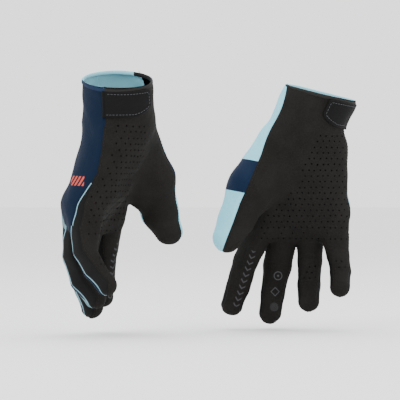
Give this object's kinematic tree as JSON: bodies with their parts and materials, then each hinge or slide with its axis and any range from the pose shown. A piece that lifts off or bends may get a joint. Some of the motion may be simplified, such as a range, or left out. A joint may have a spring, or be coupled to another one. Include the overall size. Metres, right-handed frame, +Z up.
{
  "type": "pair of sailing gloves",
  "caption": "Pair of full-finger gloves with perforated palms, stretch side walls and a hook-and-loop wrist strap, for gripping ropes.",
  "frame": {"origin": "centre of the left glove's cuff opening, in the plane of its rim", "axes": "+X from the left glove to the right one across the pair, +Y away from the viewer through the pair, +Z up from the fingers to the cuffs"},
  "size_m": [0.2922, 0.2225, 0.2501],
  "materials": {
    "palm_suede": "perforated synthetic suede, warm charcoal black, matte",
    "back_fabric": "printed lightweight stretch fabric, navy with grey and pale blue print",
    "thumb_fabric": "the same printed fabric where it is pale blue with a navy band",
    "stretch_fabric": "smooth black two-way stretch knit",
    "hem_fabric": "pale blue folded edge tape",
    "strap_neoprene": "black fabric-faced neoprene, matte",
    "hook_tape": "black nylon hook tape",
    "loop_tape": "black nylon loop tape"
  },
  "bodies": {
    "left_hand": {"left_palm_panel": "palm_suede", "left_back_panel": "back_fabric", "left_thumb_panel": "thumb_fabric", "left_side_gusset": "stretch_fabric", "left_finger_gussets": "stretch_fabric", "left_cuff_hem": "hem_fabric", "left_loop_patch": "loop_tape", "left_thumb_crease": "stretch_fabric", "left_index_crease": "stretch_fabric", "left_middle_crease": "stretch_fabric", "left_ring_crease": "stretch_fabric", "left_little_crease": "stretch_fabric"},
    "left_strap": {"left_strap_tab": "strap_neoprene", "left_hook_patch": "hook_tape"},
    "left_thumb": {"left_thumb_front": "palm_suede", "left_thumb_back": "thumb_fabric"},
    "left_index": {"left_index_front": "palm_suede", "left_index_back": "back_fabric", "left_index_gusset": "stretch_fabric"},
    "left_middle": {"left_middle_front": "palm_suede", "left_middle_back": "back_fabric", "left_middle_gusset": "stretch_fabric"},
    "left_ring": {"left_ring_front": "palm_suede", "left_ring_back": "back_fabric", "left_ring_gusset": "stretch_fabric"},
    "left_little": {"left_little_front": "palm_suede", "left_little_back": "back_fabric", "left_little_gusset": "stretch_fabric"},
    "right_hand": {"right_palm_panel": "palm_suede", "right_back_panel": "back_fabric", "right_thumb_panel": "thumb_fabric", "right_side_gusset": "stretch_fabric", "right_finger_gussets": "stretch_fabric", "right_cuff_hem": "hem_fabric", "right_loop_patch": "loop_tape", "right_thumb_crease": "stretch_fabric", "right_index_crease": "stretch_fabric", "right_middle_crease": "stretch_fabric", "right_ring_crease": "stretch_fabric", "right_little_crease": "stretch_fabric"},
    "right_strap": {"right_strap_tab": "strap_neoprene", "right_hook_patch": "hook_tape"},
    "right_thumb": {"right_thumb_front": "palm_suede", "right_thumb_back": "thumb_fabric"},
    "right_index": {"right_index_front": "palm_suede", "right_index_back": "back_fabric", "right_index_gusset": "stretch_fabric"},
    "right_middle": {"right_middle_front": "palm_suede", "right_middle_back": "back_fabric", "right_middle_gusset": "stretch_fabric"},
    "right_ring": {"right_ring_front": "palm_suede", "right_ring_back": "back_fabric", "right_ring_gusset": "stretch_fabric"},
    "right_little": {"right_little_front": "palm_suede", "right_little_back": "back_fabric", "right_little_gusset": "stretch_fabric"}
  },
  "joints": [
    {"name": "left_strap_peel", "type": "hinge", "parent": "left_hand", "child": "left_strap", "pos_m": [-0.01282, -0.02619, -0.0243], "axis": [0.0403, 0.5551, -0.8308], "range_deg": [0, 120]},
    {"name": "left_index_flex", "type": "hinge", "parent": "left_hand", "child": "left_index", "pos_m": [-0.01571, 0.08907, -0.16454], "axis": [-0.3698, -0.8608, -0.3498], "range_deg": [-15, 65], "stiffness_Nm_per_rad": 0.04, "deforming": ["left_index_crease"]},
    {"name": "left_middle_flex", "type": "hinge", "parent": "left_hand", "child": "left_middle", "pos_m": [-0.03691, 0.06192, -0.17026], "axis": [-0.3182, -0.9284, -0.192], "range_deg": [-15, 65], "stiffness_Nm_per_rad": 0.04, "deforming": ["left_middle_crease"]},
    {"name": "left_ring_flex", "type": "hinge", "parent": "left_hand", "child": "left_ring", "pos_m": [-0.04112, 0.02902, -0.16676], "axis": [-0.3086, -0.9505, -0.0372], "range_deg": [-15, 65], "stiffness_Nm_per_rad": 0.04, "deforming": ["left_ring_crease"]},
    {"name": "left_little_flex", "type": "hinge", "parent": "left_hand", "child": "left_little", "pos_m": [-0.03042, -0.00352, -0.16176], "axis": [-0.3454, -0.932, 0.1098], "range_deg": [-15, 65], "stiffness_Nm_per_rad": 0.04, "deforming": ["left_little_crease"]},
    {"name": "left_thumb_flex", "type": "hinge", "parent": "left_hand", "child": "left_thumb", "pos_m": [0.03901, 0.08188, -0.12566], "axis": [-0.9473, 0.121, -0.2966], "range_deg": [-10, 50], "stiffness_Nm_per_rad": 0.04, "deforming": ["left_thumb_crease"]},
    {"name": "pair_slide", "type": "slide", "parent": "left_hand", "child": "right_hand", "axis": [1, 0, 0], "range_m": [0, 0.15]},
    {"name": "right_strap_peel", "type": "hinge", "parent": "right_hand", "child": "right_strap", "pos_m": [0.23041, 0.12802, -0.0308], "axis": [0.5215, -0.0966, 0.8477], "range_deg": [0, 120]},
    {"name": "right_index_flex", "type": "hinge", "parent": "right_hand", "child": "right_index", "pos_m": [0.1249, 0.1602, -0.175], "axis": [-0.9406, -0.0701, 0.3322], "range_deg": [-15, 65], "stiffness_Nm_per_rad": 0.04, "deforming": ["right_index_crease"]},
    {"name": "right_middle_flex", "type": "hinge", "parent": "right_hand", "child": "right_middle", "pos_m": [0.1574, 0.1717, -0.1805], "axis": [-0.9853, -0.0071, 0.1704], "range_deg": [-15, 65], "stiffness_Nm_per_rad": 0.04, "deforming": ["right_middle_crease"]},
    {"name": "right_ring_flex", "type": "hinge", "parent": "right_hand", "child": "right_ring", "pos_m": [0.1899, 0.1657, -0.176], "axis": [-0.9999, 0.0019, 0.0148], "range_deg": [-15, 65], "stiffness_Nm_per_rad": 0.04, "deforming": ["right_ring_crease"]},
    {"name": "right_little_flex", "type": "hinge", "parent": "right_hand", "child": "right_little", "pos_m": [0.2174, 0.1457, -0.1695], "axis": [-0.9905, -0.0452, -0.1301], "range_deg": [-15, 65], "stiffness_Nm_per_rad": 0.04, "deforming": ["right_little_crease"]},
    {"name": "right_thumb_flex", "type": "hinge", "parent": "right_hand", "child": "right_thumb", "pos_m": [0.1139, 0.1077, -0.134], "axis": [-0.1853, -0.9244, 0.3335], "range_deg": [-10, 50], "stiffness_Nm_per_rad": 0.04, "deforming": ["right_thumb_crease"]}
  ]
}
